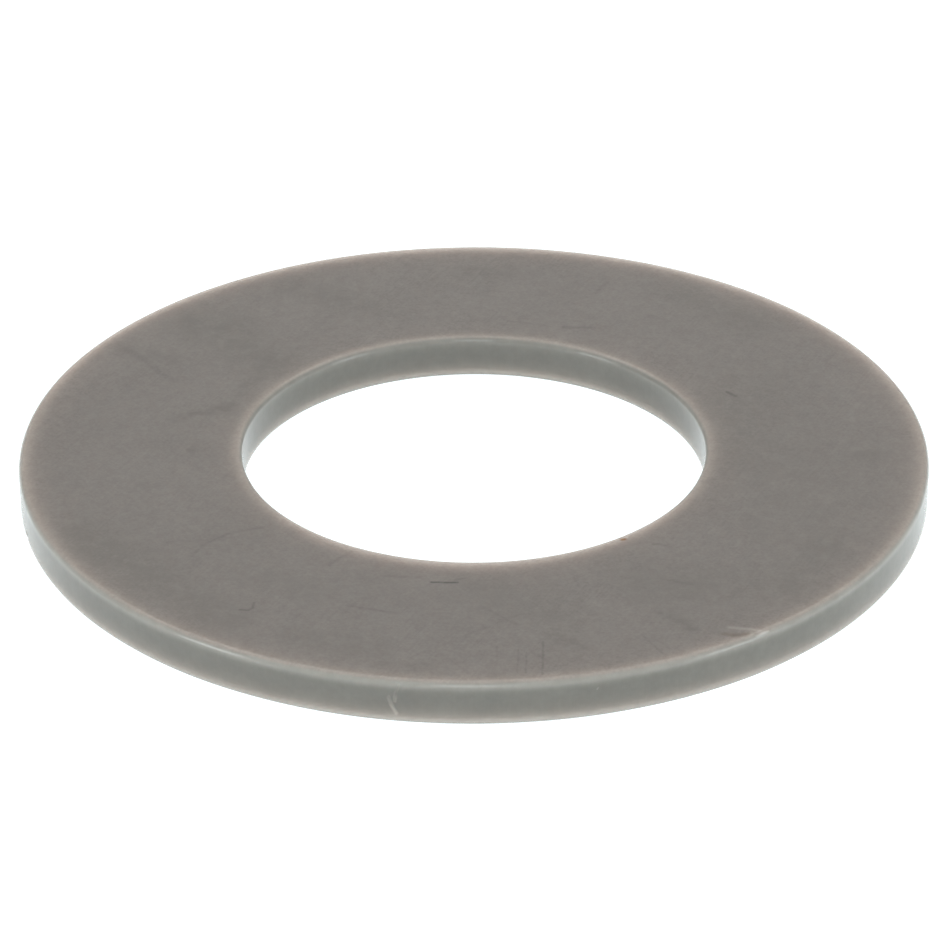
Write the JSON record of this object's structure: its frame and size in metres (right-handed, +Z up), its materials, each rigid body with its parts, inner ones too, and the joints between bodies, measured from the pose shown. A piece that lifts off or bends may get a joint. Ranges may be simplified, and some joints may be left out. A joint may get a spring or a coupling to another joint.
{
  "type": "flat washer",
  "caption": "Thin flat ring of grey plastic with a round bore and softly rounded edges, to go under a screw head or nut.",
  "frame": {"origin": "centre of the bore in the plane of the lower face, which is also the bottom centre of the box", "axes": "+Z up along the bore's axis, from the lower face to the upper face; +X and +Y lie in the lower face, and +X is to the right in the pictured view"},
  "size_m": [0.02, 0.02, 0.001],
  "materials": {
    "grey_plastic": "satin, slightly translucent warm grey plastic with fine scratches and scuffs"
  },
  "bodies": {
    "root": {"washer": "grey_plastic"}
  },
  "joints": []
}
